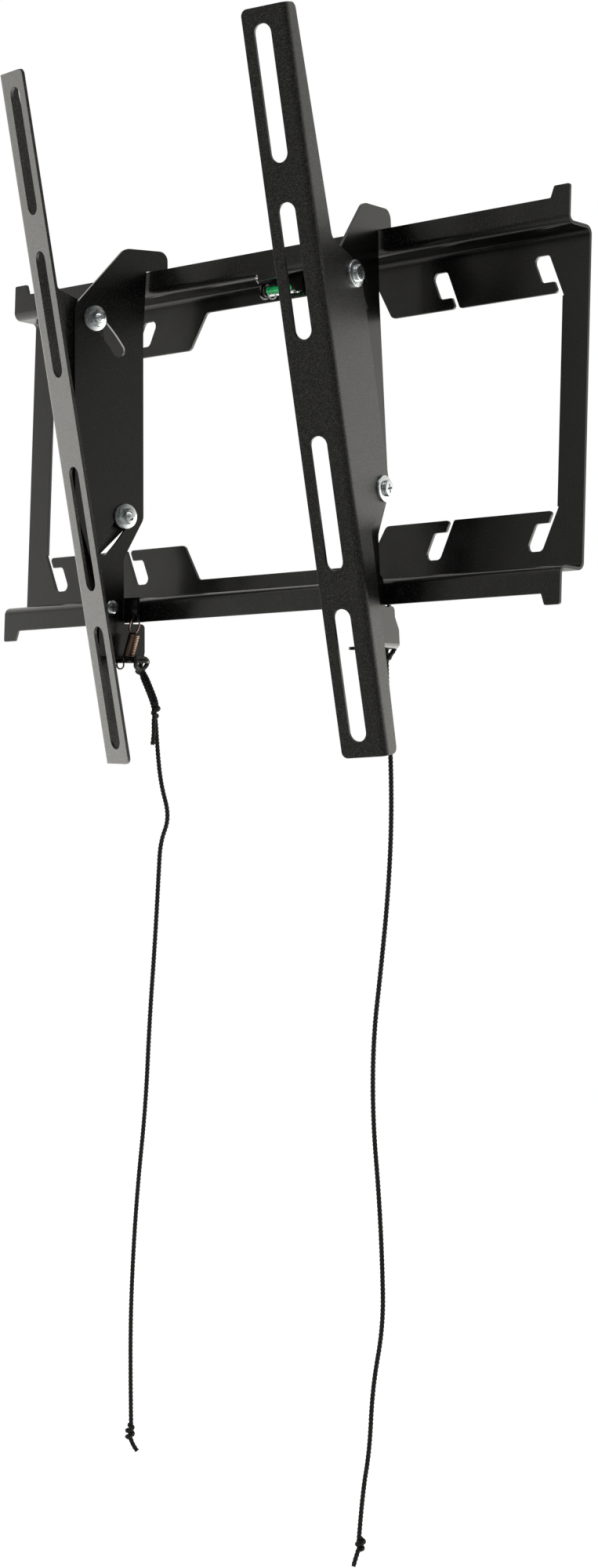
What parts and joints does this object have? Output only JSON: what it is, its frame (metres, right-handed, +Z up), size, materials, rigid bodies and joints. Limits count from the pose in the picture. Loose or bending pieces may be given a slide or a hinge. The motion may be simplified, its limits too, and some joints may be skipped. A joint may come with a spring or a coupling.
{
  "type": "tilting television wall bracket",
  "caption": "Black steel wall plate with Z-shaped rails and a spirit level; slotted arms hook on, tilt on curved slots and lock below with sprung latches released by pull cords.",
  "frame": {"origin": "centre of the wall plate, on the plane of its back", "axes": "+X to the right along the rails, +Y into the wall, +Z up"},
  "size_m": [0.472, 0.1353, 0.8746],
  "materials": {
    "satin_black": "smooth satin powder coat",
    "textured_black": "fine textured powder coat",
    "zinc": "bright zinc plating",
    "copper_wire": "drawn spring wire",
    "black_plastic": "moulded",
    "clear_acrylic": "clear",
    "green_fluid": "clear green fluid",
    "black_cord": "braided"
  },
  "bodies": {
    "wall": {"wall_plate": "satin_black", "level_holder": "black_plastic", "level_vial": "clear_acrylic", "level_fluid": "green_fluid"},
    "left_hook": {"left_hook_plate": "satin_black", "left_latch_pivot": "zinc", "left_latch_spring": "copper_wire"},
    "left_tilt_arm": {"left_arm": "textured_black", "left_tilt_bolts": "zinc", "left_tilt_washers": "zinc", "left_tilt_bushes": "black_plastic", "left_tilt_nuts": "zinc"},
    "left_latch": {"left_latch_lever": "satin_black"},
    "left_pull_cord": {"left_cord": "black_cord"},
    "right_hook": {"right_hook_plate": "satin_black", "right_latch_pivot": "zinc", "right_latch_spring": "copper_wire"},
    "right_tilt_arm": {"right_arm": "textured_black", "right_tilt_bolts": "zinc", "right_tilt_washers": "zinc", "right_tilt_bushes": "black_plastic", "right_tilt_nuts": "zinc"},
    "right_latch": {"right_latch_lever": "satin_black"},
    "right_pull_cord": {"right_cord": "black_cord"}
  },
  "joints": [
    {"name": "left_rail_slide", "type": "slide", "parent": "wall", "child": "left_hook", "axis": [1, 0, 0], "range_m": [-0.095, 0.055]},
    {"name": "left_arm_tilt", "type": "hinge", "parent": "left_hook", "child": "left_tilt_arm", "pos_m": [-0.13237, -0.11189, -0.00116], "axis": [0.975, -0.2172, -0.0476], "range_deg": [-15, 0]},
    {"name": "left_latch_turn", "type": "hinge", "parent": "left_hook", "child": "left_latch", "pos_m": [-0.12167, -0.03251, -0.10221], "axis": [0.975, -0.2172, -0.0476], "range_deg": [-16, 0], "stiffness_Nm_per_rad": 0.6, "springref_deg": 14.32, "deforming": ["left_latch_spring"]},
    {"name": "left_cord_hang", "type": "hinge", "parent": "left_latch", "child": "left_pull_cord", "pos_m": [-0.11305, -0.0114, -0.13545], "axis": [0.975, -0.2172, -0.0476], "range_deg": [0, 16]},
    {"name": "right_rail_slide", "type": "slide", "parent": "wall", "child": "right_hook", "axis": [1, 0, 0], "range_m": [-0.05, 0.11]},
    {"name": "right_arm_tilt", "type": "hinge", "parent": "right_hook", "child": "right_tilt_arm", "pos_m": [0.11726, -0.11189, -0.00116], "axis": [0.975, 0.2172, 0.0476], "range_deg": [-15, 0]},
    {"name": "right_latch_turn", "type": "hinge", "parent": "right_hook", "child": "right_latch", "pos_m": [0.10657, -0.03251, -0.10221], "axis": [0.975, 0.2172, 0.0476], "range_deg": [-16, 0], "stiffness_Nm_per_rad": 0.6, "springref_deg": 14.32, "deforming": ["right_latch_spring"]},
    {"name": "right_cord_hang", "type": "hinge", "parent": "right_latch", "child": "right_pull_cord", "pos_m": [0.09795, -0.0114, -0.13545], "axis": [0.975, 0.2172, 0.0476], "range_deg": [0, 16]}
  ],
  "couplings": [
    {"joint": "left_cord_hang", "follows": "left_latch_turn", "ratio": -1},
    {"joint": "right_cord_hang", "follows": "right_latch_turn", "ratio": -1}
  ]
}
